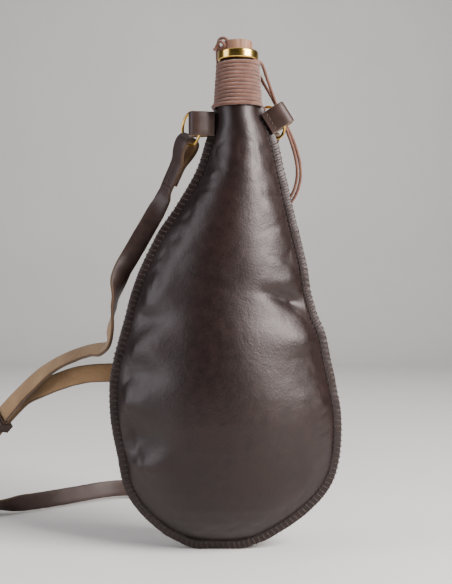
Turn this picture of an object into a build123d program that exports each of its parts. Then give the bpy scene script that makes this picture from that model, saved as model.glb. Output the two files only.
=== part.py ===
from build123d import *
import math
import os

# A leather bota-type canteen, upright, in millimetres.
# +Z runs towards the mouth, +X to the right of someone facing the front panel, which faces -Y.
# The origin is the middle of the bottom edge.

# ---------------------------------------------------------------- driving dimensions
LEATHER = 2.2            # body leather thickness
FLANGE_HALF = 1.9        # half thickness of the two sewn layers
SEAM_INSET = 5.0         # seam line, measured in from the leather's edge
BLADDER_WALL = 0.8
BLADDER_GAP = 0.5

NECK_X = 9.0             # the neck stands a little right of the middle
NECK_LOW_Z = 306.5
NECK_TOP_Z = 338.0
NECK_LOW_R = 14.6        # leather radius under the binding, bottom and top
NECK_TOP_R = 12.65

TUBE_R = 10.2
BORE_R = 8.0
TUBE_BOTTOM_Z = 284.0
TUBE_TOP_Z = 342.4

COLLAR_R = 14.15
COLLAR_BOTTOM_Z = 338.4
COLLAR_HEIGHT = 6.6

BINDING_CORD_D = 2.5
BINDING_PITCH = 2.58
BINDING_TURNS = 11.2

STOPPER_R = 9.85
STOPPER_TOP_Z = 352.0
STOPPER_SHANK = 24.0
CROSS_HOLE_R = 1.45
CROSS_HOLE_Z = 348.4

LEASH_D = 2.2

STITCH_PITCH = 3.8
THREAD = 0.9

RING_MAJOR = 11.5
RING_WIRE_R = 1.0
RING_OFFSET = 9.7        # ring centre from the tunnel's axis
TUNNEL_OUT = 5.6         # tunnel axis, outwards from the flange's edge
TAB_THICK = 1.8

STRAP_WIDTH = 13.5
STRAP_THICK = 2.3
STRAP_END_LENGTH = 32.0

BUCKLE_WIRE_R = 1.3
BUCKLE_LENGTH = 17.0
BUCKLE_HALF_WIDTH = 9.4
TONGUE_LIFT = 4.5         # right strap's middle above the fold it lies on

# Leather edge, (x, z), from the neck's left side round the bottom to its right side.
OUTLINE = [
    (-7.6, 306), (-13, 285), (-20, 263), (-32.4, 241), (-47, 219), (-58, 197),
    (-66, 175), (-72, 152), (-78, 131), (-80.6, 108), (-79.4, 87), (-74.8, 64),
    (-70.4, 43), (-60, 26), (-45, 12), (-31, 4), (-18, 0), (9, 0), (24, 4),
    (40, 12.5), (56, 24), (69, 37), (77.6, 53), (81, 75), (80.4, 97), (77, 115),
    (73.4, 132), (70, 149), (63.8, 164), (59.6, 180), (57, 197), (51.6, 219),
    (46.4, 241), (41.4, 263), (36, 285), (27, 306),
]

# Half depth of the filled body at each level, (z, half depth).
DEPTHS = [
    (285, 16.5), (263, 19.6), (241, 22.6), (219, 25.6), (197, 28.6), (175, 31.2),
    (152, 33.8), (131, 35.8), (108, 37.4), (90, 38.0), (72, 37.2), (55, 34.6),
    (42, 31.0), (31, 26.0), (22, 20.0), (15, 14.0), (10, 8.4), (6.2, 2.6),
]


def unit(v):
    return Vector(*v).normalized()


# ---------------------------------------------------------------- the body's outline
def outline_edge():
    return Spline([Vector(x, 0, z) for x, z in OUTLINE])


def inset_outline(distance, samples=240):
    edge = outline_edge()
    points = []
    for i in range(samples + 1):
        p = edge.position_at(i / samples)
        t = edge.tangent_at(i / samples)
        points.append((p.X - t.Z * distance, p.Z + t.X * distance))
    return points


def crossing(points, z, last):
    found = None
    for (x0, z0), (x1, z1) in zip(points, points[1:]):
        if (z0 - z) * (z1 - z) <= 0 and z0 != z1:
            x = x0 + (x1 - x0) * (z - z0) / (z1 - z0)
            if found is None or last:
                found = x
    return found


def lens_wire(z, x_left, x_right, depth, power):
    # A closed lens, front and back curve, that turns into a circle when power is 0.5.
    middle = (x_left + x_right) / 2
    half = (x_right - x_left) / 2
    curves = []
    for side in (-1, 1):
        points = []
        for i in range(9):
            u = -side * math.cos(math.pi * i / 8)
            y = depth * max(0.0, 1 - abs(u) ** 2) ** power
            points.append(Vector(middle + half * u * -1, side * y, z))
        curves.append(Edge.make_spline(points))
    return Wire(curves)


def body_levels(inset):
    # Rows of (z, left, right, half depth, power), top first, pulled in by inset.
    seam = inset_outline(SEAM_INSET)
    rows = []
    for i in range(5):
        z = NECK_TOP_Z + (NECK_LOW_Z - NECK_TOP_Z) * i / 4
        r = NECK_TOP_R + (NECK_LOW_R - NECK_TOP_R) * i / 4 - inset
        rows.append((z, NECK_X - r, NECK_X + r, r, 0.5))
    rows.append((297.0, -6.3 + inset, 26.0 - inset, 15.3 - inset, 0.52))
    for z, depth in DEPTHS:
        left = crossing(seam, z, False) + inset
        right = crossing(seam, z, True) - inset
        if depth - inset > 3.0 or inset == 0:
            rows.append((z, left, right, depth - inset, 0.62))
    return rows


def body_solid(inset, top_z=None):
    wires = []
    for z, left, right, depth, power in body_levels(inset):
        if top_z is not None and z > top_z:
            continue
        wires.append(lens_wire(z, left, right, depth, power))
    return Solid.make_loft(wires)


# ---------------------------------------------------------------- stitches
def stitch_ring(length, height):
    # One thread loop in the local XY plane, wound round a slab of the given height.
    # The seam's thread fills its awl holes, so there it runs through solid leather.
    outer = Box(length, height + 2 * THREAD, THREAD)
    inner = Box(length - 2 * THREAD, height + 0.06, 2 * THREAD)
    return outer - inner


def seam_places():
    edge = outline_edge()
    count = int(edge.length / STITCH_PITCH)
    places = []
    for i in range(count + 1):
        p = edge.position_at(i / count)
        t = edge.tangent_at(i / count)
        if p.Z > 283.0:
            continue
        p = Vector(p.X, 0, max(p.Z, 0.1))
        outward = Vector(t.Z, 0, -t.X)
        places.append(Plane(origin=p, x_dir=outward, z_dir=Vector(t.X, 0, t.Z)))
    return places


def seam_stitching():
    loop = Pos(-2.45, 0, 0) * stitch_ring(4.9, 2 * FLANGE_HALF)
    return Compound([place * loop for place in seam_places()])


# ---------------------------------------------------------------- tabs
def tab_plane(left):
    if left:
        return Plane(origin=(-12.4, 0, 294.3), x_dir=(-1, 0, 0), z_dir=(0, 0, -1))
    return Plane(origin=(33.2, 0, 297.0), x_dir=(0.85, 0, 0.53), z_dir=(0.53, 0, -0.85))


def tab_length(left):
    return 13.4 if left else 15.4


def tab(left):
    length = tab_length(left)
    profile = Pos(TUNNEL_OUT, 0) * Ellipse(6.4, 5.2)
    profile += Pos(0.8, 0) * Rectangle(9.6, 2 * (FLANGE_HALF + 0.05 + TAB_THICK))
    profile -= Pos(TUNNEL_OUT, 0) * Ellipse(4.6, 3.4)
    profile -= Pos(-2.1, 0) * Rectangle(5.4, 2 * (FLANGE_HALF + 0.05))
    shape = Pos(0, 0, -length / 2) * extrude(profile, length)
    for place in tab_stitch_spots(left):
        shape -= place * Box(1.2, 12, 1.2)
    return tab_plane(left) * shape


def tab_stitch_spots(left):
    length = tab_length(left)
    spots = []
    for k in range(4):
        spots.append(Pos(-1.6, 0, (k - 1.5) * length / 4.6))
    return spots


def tab_stitches(left):
    slab = 2 * (FLANGE_HALF + 0.05 + TAB_THICK)
    spots = tab_stitch_spots(left)
    loops = []
    for a, b in ((0, 1), (2, 3)):
        middle = (spots[a].position + spots[b].position) * 0.5
        span = (spots[b].position - spots[a].position).length + THREAD
        loop = Rot(0, 90, 0) * stitch_ring(span, slab)
        loops.append(tab_plane(left) * Pos(*middle) * loop)
    return Compound(loops)


def tab_cutters():
    cutters = []
    for left in (True, False):
        for place in tab_stitch_spots(left):
            cutters.append(tab_plane(left) * place * Box(1.2, 12, 1.2))
    return cutters


# ---------------------------------------------------------------- body panels
def panels():
    edge = outline_edge()
    top = Line(edge.position_at(1), edge.position_at(0))
    face = Face(Wire([edge, top]))
    plate = extrude(face, FLANGE_HALF, dir=(0, 1, 0), both=True)
    neck_bore = Pos(NECK_X, 0, 320) * Cylinder(TUBE_R + 0.08, 50)
    below = Pos(0, 0, -10) * Box(300, 20, 20)
    shell = plate + body_solid(0.0) - body_solid(LEATHER) - neck_bore - below
    holes = tab_cutters()
    front = shell & (Pos(0, -100, 170) * Box(400, 200, 400))
    back = shell & (Pos(0, 100, 170) * Box(400, 200, 400))
    return front - holes, back - holes


def bladder():
    outer = body_solid(LEATHER + BLADDER_GAP, top_z=NECK_LOW_Z + 1)
    inner = body_solid(LEATHER + BLADDER_GAP + BLADDER_WALL, top_z=NECK_LOW_Z + 1)
    opening = Pos(NECK_X, 0, 303) * Cylinder(TUBE_R + 0.9, 40)
    return outer - inner - opening


# ---------------------------------------------------------------- neck parts
def neck_tube():
    height = TUBE_TOP_Z - TUBE_BOTTOM_Z
    middle = (TUBE_TOP_Z + TUBE_BOTTOM_Z) / 2
    shape = Pos(NECK_X, 0, middle) * Cylinder(TUBE_R, height)
    shape += Pos(NECK_X, 0, TUBE_BOTTOM_Z + 1.2) * Cylinder(TUBE_R + 0.6, 2.4)
    shape -= Pos(NECK_X, 0, middle) * Cylinder(BORE_R, height + 2)
    return shape


def neck_collar():
    middle = COLLAR_BOTTOM_Z + COLLAR_HEIGHT / 2
    ring = Cylinder(COLLAR_R, COLLAR_HEIGHT)
    ring = fillet(ring.edges().filter_by(GeomType.CIRCLE), 1.4)
    ring -= Cylinder(TUBE_R + 0.06, COLLAR_HEIGHT + 2)
    return Pos(NECK_X, 0, middle) * ring


def neck_binding():
    r = BINDING_CORD_D / 2
    gap = 0.15
    height = BINDING_PITCH * BINDING_TURNS
    taper = math.degrees(math.atan((NECK_LOW_R - NECK_TOP_R) / (NECK_TOP_Z - NECK_LOW_Z)))
    start = NECK_LOW_R + r + gap
    path = Helix(BINDING_PITCH, height, start, center=(NECK_X, 0, 0), cone_angle=-taper)
    section = Plane(origin=path @ 0, z_dir=path % 0) * Circle(r)
    coil = sweep(section, path=path, is_frenet=True)
    return Pos(0, 0, NECK_LOW_Z + r + 0.1) * coil


def stopper():
    seat = TUBE_TOP_Z + 0.1
    head_height = STOPPER_TOP_Z - seat
    head = Cylinder(STOPPER_R, head_height)
    head = fillet(head.edges().filter_by(GeomType.CIRCLE).group_by(Axis.Z)[-1], 1.0)
    shape = Pos(NECK_X, 0, seat + head_height / 2) * head
    shank = Cone(BORE_R - 0.9, BORE_R - 0.15, STOPPER_SHANK)
    shape += Pos(NECK_X, 0, seat - STOPPER_SHANK / 2) * shank
    hole = Rot(0, 90, 0) * Cylinder(CROSS_HOLE_R, 40)
    return shape - Pos(NECK_X, 0, CROSS_HOLE_Z) * hole


def stopper_knot():
    # The leash is knotted on the left of the stopper, and its end is wedged in the cross hole.
    through = Pos(-2, 0, 0) * Rot(0, 90, 0) * Cylinder(LEASH_D / 2, 2 * STOPPER_R + 2)
    shape = through + Pos(-STOPPER_R - 3.4, 0, 0.3) * Sphere(3.0)
    return Pos(NECK_X, 0, CROSS_HOLE_Z) * shape


# ---------------------------------------------------------------- rings and strap ends
def ring_frame(left):
    # Tunnel axis point, direction along the tunnel, direction from the tunnel to the ring.
    plane = tab_plane(left)
    out = plane.x_dir
    along = plane.z_dir
    centre = plane.origin + out * TUNNEL_OUT
    if left:
        lean = math.radians(55)
        across = Vector(0, 1, 0)
        centre = centre + Vector(0, 0, -1.4)
    else:
        lean = math.radians(130)
        across = Vector(0, 1, 0)
    towards = out * math.cos(lean) + across * math.sin(lean)
    return centre, along, towards


def ring(left):
    pivot, along, towards = ring_frame(left)
    centre = pivot + towards * RING_OFFSET
    normal = along.cross(towards)
    return Plane(origin=centre, z_dir=normal) * Torus(RING_MAJOR, RING_WIRE_R)


def strap_end_plane(left):
    # Origin on the ring's wire, X along the wire, Z back up the strap, Y through its faces.
    pivot, along, towards = ring_frame(left)
    centre = pivot + towards * RING_OFFSET
    turn = math.radians(28 if left else 60)
    down = along * math.cos(turn) + towards * math.sin(turn)
    wire = towards * math.cos(turn) - along * math.sin(turn)
    origin = centre + down * RING_MAJOR
    if left:
        side = wire.cross(down).normalized()
        swing = math.radians(10)
        if side.X > 0:
            side = side * -1
        down = (down * math.cos(swing) + side * math.sin(swing)).normalized()
    return Plane(origin=origin, x_dir=wire, z_dir=down * -1)


def strap_end_profile():
    # Teardrop fold and doubled tail, in local YZ.
    outer_r = 6.2
    inner_r = outer_r - STRAP_THICK
    tail = STRAP_THICK + 0.05
    merge = -13.0
    outer = Circle(outer_r)
    outer += make_face(Polyline((-outer_r, 0), (outer_r, 0), (tail, merge), (-tail, merge), close=True))
    outer += Pos(0, (merge - STRAP_END_LENGTH) / 2) * Rectangle(2 * tail, STRAP_END_LENGTH + merge)
    inner = Circle(inner_r)
    inner += make_face(Polyline((-inner_r, 0), (inner_r, 0), (0, merge + 1.5), close=True))
    return outer - inner


def strap_end(left):
    profile = Pos(0, -0.35) * strap_end_profile()
    face = Plane.YZ * profile
    shape = extrude(face, STRAP_WIDTH / 2, dir=(1, 0, 0), both=True)
    for k in range(5):
        shape -= Pos(0, 0, -15.5 - 3.6 * k) * Box(1.2, 12, 1.2)
    return strap_end_plane(left) * shape


def strap_end_stitches(left):
    slab = 2 * (STRAP_THICK + 0.05)
    loops = []
    for k in (0, 2):
        loop = Rot(0, 90, 0) * stitch_ring(3.6 + THREAD, slab)
        loops.append(strap_end_plane(left) * Pos(0, 0, -15.5 - 3.6 * (k + 0.5)) * loop)
    return Compound(loops)


# ---------------------------------------------------------------- cord and strap routes
# Strap rows are (x, y, z) on the centreline, then the direction the grain side faces.
LEFT_STRAP = [
    ((-40.0, 21.5, 254.2), (-0.76, -0.63, 0.15)),
    ((-44.6, 24.6, 244.4), (-0.55, -0.83, 0.05)),
    ((-53.8, 24.5, 228.5), (-0.10, -1.0, 0.0)),
    ((-66.0, 21.0, 206.4), (0.10, -1.0, 0.0)),
    ((-75.3, 17.0, 190.5), (0.55, -0.83, 0.0)),
    ((-78.3, 13.0, 170.5), (1.0, -0.10, 0.0)),
    ((-81.0, 12.0, 150.0), (0.95, 0.30, 0.0)),
    ((-84.0, 20.0, 137.0), (0.55, 0.45, -0.70)),
    ((-97.5, 36.0, 136.5), (0.10, 0.66, -0.74)),
    ((-127.0, 52.0, 125.0), (-0.10, 0.66, -0.74)),
    ((-152.0, 63.0, 104.0), (0.20, 0.72, -0.60)),
    ((-169.0, 70.0, 85.0), (0.50, 0.80, -0.30)),
]

RIGHT_STRAP = [
    ((22.4, 39.4, 260.8), (0.60, 0.70, 0.45)),
    ((20.5, 46.0, 246.0), (0.30, 0.90, 0.20)),
    ((21.0, 51.0, 215.0), (0.10, 1.0, 0.10)),
    ((24.0, 56.0, 170.0), (0.0, 1.0, 0.0)),
    ((26.0, 62.0, 120.0), (0.10, 1.0, 0.10)),
    ((23.0, 78.0, 75.0), (0.20, 0.90, 0.40)),
    ((13.0, 110.0, 38.0), (0.20, 0.75, 0.60)),
    ((-8.0, 150.0, 16.0), (0.30, 0.60, 0.70)),
    ((-42.0, 180.0, 6.5), (0.10, -0.50, 0.85)),
    ((-92.0, 180.0, 10.0), (-0.25, -0.95, 0.20)),
    ((-130.0, 150.0, 7.8), (-0.60, -0.80, 0.05)),
    ((-163.0, 120.0, 7.6), (-0.60, -0.80, 0.0)),
    ((-192.0, 103.0, 8.4), (-0.40, -0.70, -0.60)),
    ((-219.0, 95.0, 15.0), (-0.50, -0.20, -0.85)),
    ((-229.0, 93.0, 32.0), (-0.95, -0.10, -0.10)),
    ((-213.0, 89.5, 48.5), (-0.55, -0.20, 0.75)),
]

TAIL = [
    ((-154.0, 73.5, 97.0), (0.20, 0.72, -0.60)),
    ((-128.0, 58.0, 110.5), (0.05, 0.93, -0.30)),
    ((-98.0, 44.0, 120.0), (0.05, 1.0, -0.05)),
    ((-66.0, 38.0, 119.0), (0.10, 1.0, 0.05)),
]

LEASH_A = [
    (25.9, 1.0, 336.4), (28.2, 4.4, 331.0), (33.0, 8.6, 318.0), (38.6, 12.6, 303.0), (45.2, 13.2, 289.0),
    (50.4, 11.6, 272.0), (51.2, 10.0, 257.0), (46.0, 11.6, 243.0), (33.0, 23.0, 236.0),
    (14.0, 28.0, 243.0), (-2.0, 27.0, 262.0), (-3.6, 24.6, 288.0), (-2.6, 23.0, 312.0),
    (-2.4, 17.0, 334.0), (-3.4, 9.5, 345.5), (-4.4, 3.7, 348.4),
]

LEASH_B = [
    (24.6, 8.0, 328.9), (27.4, 9.6, 324.6), (33.8, 13.2, 314.6), (40.6, 15.4, 302.0), (47.6, 15.2, 288.4),
    (53.0, 13.4, 271.8), (53.8, 11.4, 256.0), (47.6, 13.4, 240.6), (33.4, 25.6, 233.4),
    (12.8, 30.6, 240.8), (-4.2, 29.6, 260.6), (-6.0, 27.2, 288.0), (-5.0, 25.6, 313.0),
    (-4.8, 19.6, 335.5), (-5.8, 11.0, 347.6), (-5.2, 3.9, 350.9),
]


def corner_radii(points):
    radii = []
    for a, b, c in zip(points, points[1:], points[2:]):
        first = Vector(*b) - Vector(*a)
        second = Vector(*c) - Vector(*b)
        half_turn = math.radians(first.get_angle(second)) / 2
        shorter = min(first.length, second.length)
        radii.append(0.45 * shorter / math.tan(half_turn))
    return radii


def route_path(points, name):
    radii = corner_radii(points)
    print(name, "radii", [round(r, 1) for r in radii])
    return FilletPolyline(*[Vector(*p) for p in points], radius=radii)


def cord_tube(points, diameter, name):
    path = route_path(points, name)
    section = Plane(origin=path @ 0, z_dir=path % 0) * Circle(diameter / 2)
    tube = sweep(section, path=path)
    print(name, "length", round(path.length, 1), "volume ratio",
          round(tube.volume / (path.length * math.pi * diameter ** 2 / 4), 3))
    return tube


def strap_solid(rows, name):
    points = [row[0] for row in rows]
    faces = [unit(row[1]) for row in rows]
    path = route_path(points, name)
    marks = [0.0]
    for a, b in zip(points, points[1:]):
        marks.append(marks[-1] + (Vector(*b) - Vector(*a)).length)
    marks = [m / marks[-1] for m in marks]
    count = int(path.length / 5.0)
    wires = []
    for i in range(count + 1):
        s = i / count
        k = 0
        while k < len(marks) - 2 and marks[k + 1] < s:
            k += 1
        f = (s - marks[k]) / (marks[k + 1] - marks[k])
        tangent = path.tangent_at(s)
        normal = faces[k] * (1 - f) + faces[k + 1] * f
        normal = (normal - tangent * normal.dot(tangent)).normalized()
        across = tangent.cross(normal)
        centre = path.position_at(s)
        corners = []
        for u, v in ((-1, -1), (1, -1), (1, 1), (-1, 1)):
            corner = centre + across * (u * STRAP_WIDTH / 2) + normal * (v * STRAP_THICK / 2)
            corners.append(corner)
        wires.append(Wire.make_polygon(corners, close=True))
    solid = Solid.make_loft(wires, ruled=True)
    print(name, "length", round(path.length, 1), "volume ratio",
          round(solid.volume / (path.length * STRAP_WIDTH * STRAP_THICK), 3))
    return solid


# ---------------------------------------------------------------- buckle
def buckle_plane():
    # Origin on the heel bar, X away from the left strap, Z out of its grain side.
    end, face = LEFT_STRAP[-1]
    before = LEFT_STRAP[-2][0]
    direction = (Vector(*end) - Vector(*before)).normalized()
    normal = unit(face)
    normal = (normal - direction * normal.dot(direction)).normalized()
    return Plane(origin=Vector(*end) + direction * 28.0, x_dir=direction, z_dir=normal)


def buckle_frame():
    r = BUCKLE_WIRE_R
    corners = [
        (0, -BUCKLE_HALF_WIDTH, 0), (BUCKLE_LENGTH, -BUCKLE_HALF_WIDTH, 0),
        (BUCKLE_LENGTH, BUCKLE_HALF_WIDTH, 0), (0, BUCKLE_HALF_WIDTH, 0),
    ]
    shape = Pos(*corners[0]) * Sphere(r)
    for a, b in zip(corners, corners[1:] + corners[:1]):
        line = Vector(*b) - Vector(*a)
        middle = (Vector(*a) + Vector(*b)) * 0.5
        rod = Plane(origin=middle, z_dir=line) * Cylinder(r, line.length)
        shape += rod
        shape += Pos(*a) * Sphere(r)
    return buckle_plane() * shape


def buckle_prong():
    eye = Rot(90, 0, 0) * (Cylinder(2.9, 3.0) - Cylinder(BUCKLE_WIRE_R + 0.06, 4.0))
    start = Vector(2.3, 0, 0.9)
    tip = Vector(BUCKLE_LENGTH + 1.6, 0, BUCKLE_WIRE_R + 1.4)
    line = tip - start
    rod = Plane(origin=(start + tip) * 0.5, z_dir=line) * Cylinder(1.0, line.length)
    return buckle_plane() * (eye + rod + Pos(*tip) * Sphere(1.0))


def buckle_fold():
    inner = BUCKLE_WIRE_R + 0.3
    outer = inner + STRAP_THICK
    tail = STRAP_THICK + 0.05
    length = 27.0
    profile = Circle(outer) + make_face(
        Polyline((0, outer), (0, -outer), (-7, -tail), (-7, tail), close=True)
    )
    profile += Pos(-length / 2, 0) * Rectangle(length, 2 * tail)
    profile -= Circle(inner)
    face = Plane.XZ * profile
    shape = extrude(face, STRAP_WIDTH / 2, dir=(0, 1, 0), both=True)
    shape -= Pos(1.5, 0, 0) * Box(9.0, 3.6, 12)
    for x in (-8.0, -12.0):
        shape -= Pos(x, 0, 0) * Box(1.2, 1.2, 12)
    return buckle_plane() * shape


def buckle_fold_stitches():
    slab = 2 * (STRAP_THICK + 0.05)
    loop = Pos(-10.0, 0, 0) * Rot(90, 0, 0) * stitch_ring(4.0 + THREAD, slab)
    return buckle_plane() * loop


def keeper():
    wide = STRAP_WIDTH + 1.6
    low = -(STRAP_THICK + 0.05) - 0.5
    high = TONGUE_LIFT + STRAP_THICK / 2 + 0.4
    tall = high - low
    shape = Box(7.0, wide + 3.0, tall + 3.0) - Box(9.0, wide, tall)
    return buckle_plane() * Pos(-22.0, 0, (high + low) / 2) * shape


def right_strap():
    # Comes up to the buckle, under the front bar, over the heel bar and along the left strap.
    place = buckle_plane()
    local = [
        (BUCKLE_LENGTH + 4, -3.8), (BUCKLE_LENGTH - 0.5, -3.6), (-0.6, 6.7),
        (-14.0, TONGUE_LIFT), (-29.0, TONGUE_LIFT),
    ]
    rows = list(RIGHT_STRAP)
    for x, z in local:
        p = place.from_local_coords(Vector(x, 0, z))
        rows.append(((p.X, p.Y, p.Z), tuple(place.z_dir)))
    rows += TAIL
    strap = strap_solid(rows, "right_strap")
    slot = Pos(8.6, 0, 1.5) * Box(11.0, 3.4, 14)
    return strap - place * slot


def build_all():
    os.makedirs("parts", exist_ok=True)
    front, back = panels()
    parts = {
        "front_panel": front,
        "back_panel": back,
        "seam_stitching": seam_stitching(),
        "bladder": bladder(),
        "neck_tube": neck_tube(),
        "neck_collar": neck_collar(),
        "neck_binding": neck_binding(),
        "stopper": stopper(),
        "stopper_knot": stopper_knot(),
        "leash_strand_a": cord_tube(LEASH_A, LEASH_D, "leash_strand_a"),
        "leash_strand_b": cord_tube(LEASH_B, LEASH_D, "leash_strand_b"),
        "left_tab": tab(True),
        "right_tab": tab(False),
        "left_tab_stitches": tab_stitches(True),
        "right_tab_stitches": tab_stitches(False),
        "left_ring": ring(True),
        "right_ring": ring(False),
        "left_strap_end": strap_end(True),
        "right_strap_end": strap_end(False),
        "left_end_stitches": strap_end_stitches(True),
        "right_end_stitches": strap_end_stitches(False),
        "left_strap": strap_solid(LEFT_STRAP, "left_strap"),
        "right_strap": right_strap(),
        "buckle_frame": buckle_frame(),
        "buckle_prong": buckle_prong(),
        "buckle_fold": buckle_fold(),
        "buckle_fold_stitches": buckle_fold_stitches(),
        "keeper": keeper(),
    }
    for name, shape in parts.items():
        export_step(shape, "parts/" + name + ".step")
        box = shape.bounding_box()
        print(name, round(shape.volume, 1), len(shape.solids()), box.min, box.max)


build_all()
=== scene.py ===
import math

import bmesh
import bpy
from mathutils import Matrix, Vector, noise


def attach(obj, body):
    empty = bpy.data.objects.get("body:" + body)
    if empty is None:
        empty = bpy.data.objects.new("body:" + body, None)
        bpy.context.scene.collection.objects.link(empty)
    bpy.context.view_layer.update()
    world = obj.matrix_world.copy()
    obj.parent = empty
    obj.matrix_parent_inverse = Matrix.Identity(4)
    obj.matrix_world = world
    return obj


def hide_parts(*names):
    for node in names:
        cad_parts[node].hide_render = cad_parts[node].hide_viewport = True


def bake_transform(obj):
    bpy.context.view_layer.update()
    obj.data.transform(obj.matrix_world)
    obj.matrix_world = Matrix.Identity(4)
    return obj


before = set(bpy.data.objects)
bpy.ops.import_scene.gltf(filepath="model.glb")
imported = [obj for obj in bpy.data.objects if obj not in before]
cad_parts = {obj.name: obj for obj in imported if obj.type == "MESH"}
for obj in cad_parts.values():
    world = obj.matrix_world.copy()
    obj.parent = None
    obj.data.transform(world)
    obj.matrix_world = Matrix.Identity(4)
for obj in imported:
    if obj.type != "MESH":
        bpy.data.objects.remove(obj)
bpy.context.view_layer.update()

# ------------------------------------------------------------------ sizes, in metres
NECK_X = 0.009
NECK_LOW_Z = 0.3065
NECK_TOP_Z = 0.338
NECK_LOW_R = 0.0146
NECK_TOP_R = 0.01265
FLANGE_HALF = 0.0019
SEAM_INSET = 0.005
STITCH_PITCH = 0.0038
STRAP_WIDTH = 0.0135
STRAP_THICK = 0.0023
LEASH_D = 0.0022
CORD_ROUND = 0.007
LAYER_GAP = 0.00008
HALF_LAYER = STRAP_THICK / 2 + LAYER_GAP
BINDING_TURNS = 12.4
BINDING_FOOT_Z = 0.3051
BINDING_END_Z = 0.3371
BINDING_CORD_R = 0.00132
STITCHES_STOP_Z = 0.2835

# Leather edge, (x, z), from the neck's left side round the bottom to its right side.
OUTLINE = [
    (-0.0076, 0.306), (-0.013, 0.285), (-0.020, 0.263), (-0.0324, 0.241), (-0.047, 0.219),
    (-0.058, 0.197), (-0.066, 0.175), (-0.072, 0.152), (-0.078, 0.131), (-0.0806, 0.108),
    (-0.0794, 0.087), (-0.0748, 0.064), (-0.0704, 0.043), (-0.060, 0.026), (-0.045, 0.012),
    (-0.031, 0.004), (-0.018, 0.0), (0.009, 0.0), (0.024, 0.004), (0.040, 0.0125),
    (0.056, 0.024), (0.069, 0.037), (0.0776, 0.053), (0.081, 0.075), (0.0804, 0.097),
    (0.077, 0.115), (0.0734, 0.132), (0.070, 0.149), (0.0638, 0.164), (0.0596, 0.180),
    (0.057, 0.197), (0.0516, 0.219), (0.0464, 0.241), (0.0414, 0.263), (0.036, 0.285),
    (0.027, 0.306),
]

# Half depth of the filled body, (z, half depth).
DEPTHS = [
    (0.338, 0.01265), (0.3065, 0.0146), (0.297, 0.0153), (0.285, 0.0165), (0.263, 0.0196),
    (0.241, 0.0226), (0.219, 0.0256), (0.197, 0.0286), (0.175, 0.0312), (0.152, 0.0338),
    (0.131, 0.0358), (0.108, 0.0374), (0.090, 0.038), (0.072, 0.0372), (0.055, 0.0346),
    (0.042, 0.0310), (0.031, 0.0260), (0.022, 0.0200), (0.015, 0.0140), (0.010, 0.0084),
    (0.0052, 0.0008),
]

# Strap rows: (x, y, z) on the centreline, then the direction the grain side faces.
LEFT_STRAP = [
    ((-0.0400, 0.0215, 0.2542), (-0.76, -0.63, 0.15)),
    ((-0.0446, 0.0246, 0.2444), (-0.55, -0.83, 0.05)),
    ((-0.0538, 0.0245, 0.2285), (-0.10, -1.0, 0.0)),
    ((-0.0660, 0.0210, 0.2064), (0.10, -1.0, 0.0)),
    ((-0.0753, 0.0170, 0.1905), (0.55, -0.83, 0.0)),
    ((-0.0783, 0.0130, 0.1705), (1.0, -0.10, 0.0)),
    ((-0.0810, 0.0120, 0.1500), (0.95, 0.30, 0.0)),
    ((-0.0840, 0.0200, 0.1370), (0.55, 0.45, -0.70)),
    ((-0.0975, 0.0360, 0.1365), (0.10, 0.66, -0.74)),
    ((-0.1270, 0.0520, 0.1250), (-0.10, 0.66, -0.74)),
    ((-0.1520, 0.0630, 0.1040), (0.20, 0.72, -0.60)),
    ((-0.1690, 0.0700, 0.0850), (0.50, 0.80, -0.30)),
]
RIGHT_STRAP = [
    ((0.0224, 0.0394, 0.2608), (0.60, 0.70, 0.45)),
    ((0.0205, 0.0460, 0.2460), (0.30, 0.90, 0.20)),
    ((0.0210, 0.0510, 0.2150), (0.10, 1.0, 0.10)),
    ((0.0240, 0.0560, 0.1700), (0.0, 1.0, 0.0)),
    ((0.0260, 0.0620, 0.1200), (0.10, 1.0, 0.10)),
    ((0.0230, 0.0780, 0.0750), (0.20, 0.90, 0.40)),
    ((0.0130, 0.1100, 0.0380), (0.20, 0.75, 0.60)),
    ((-0.0080, 0.1500, 0.0160), (0.30, 0.60, 0.70)),
    ((-0.0420, 0.1800, 0.0065), (0.10, -0.50, 0.85)),
    ((-0.0920, 0.1800, 0.0100), (-0.25, -0.95, 0.20)),
    ((-0.1300, 0.1500, 0.0078), (-0.60, -0.80, 0.05)),
    ((-0.1630, 0.1200, 0.0076), (-0.60, -0.80, 0.0)),
    ((-0.1920, 0.1030, 0.0084), (-0.40, -0.70, -0.60)),
    ((-0.2190, 0.0950, 0.0150), (-0.50, -0.20, -0.85)),
    ((-0.2290, 0.0930, 0.0320), (-0.95, -0.10, -0.10)),
    ((-0.2130, 0.0895, 0.0485), (-0.55, -0.20, 0.75)),
]
BUCKLE_LOCAL = [(0.021, -0.0038), (0.0165, -0.0036), (-0.0006, 0.0067), (-0.014, 0.0045),
                (-0.029, 0.0045)]
TAIL = [
    ((-0.1540, 0.0735, 0.0970), (0.20, 0.72, -0.60)),
    ((-0.1280, 0.0580, 0.1105), (0.05, 0.93, -0.30)),
    ((-0.0980, 0.0440, 0.1200), (0.05, 1.0, -0.05)),
    ((-0.0660, 0.0380, 0.1190), (0.10, 1.0, 0.05)),
]
LEASH_A = [
    (0.0259, 0.0010, 0.3364), (0.0282, 0.0044, 0.3310), (0.0330, 0.0086, 0.3180),
    (0.0386, 0.0126, 0.3030),
    (0.0452, 0.0132, 0.2890), (0.0504, 0.0116, 0.2720), (0.0512, 0.0100, 0.2570),
    (0.0460, 0.0116, 0.2430), (0.0330, 0.0230, 0.2360), (0.0140, 0.0280, 0.2430),
    (-0.0020, 0.0270, 0.2620), (-0.0036, 0.0246, 0.2880), (-0.0026, 0.0230, 0.3120),
    (-0.0024, 0.0170, 0.3340), (-0.0034, 0.0095, 0.3455), (-0.0044, 0.0037, 0.3484),
]
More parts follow.
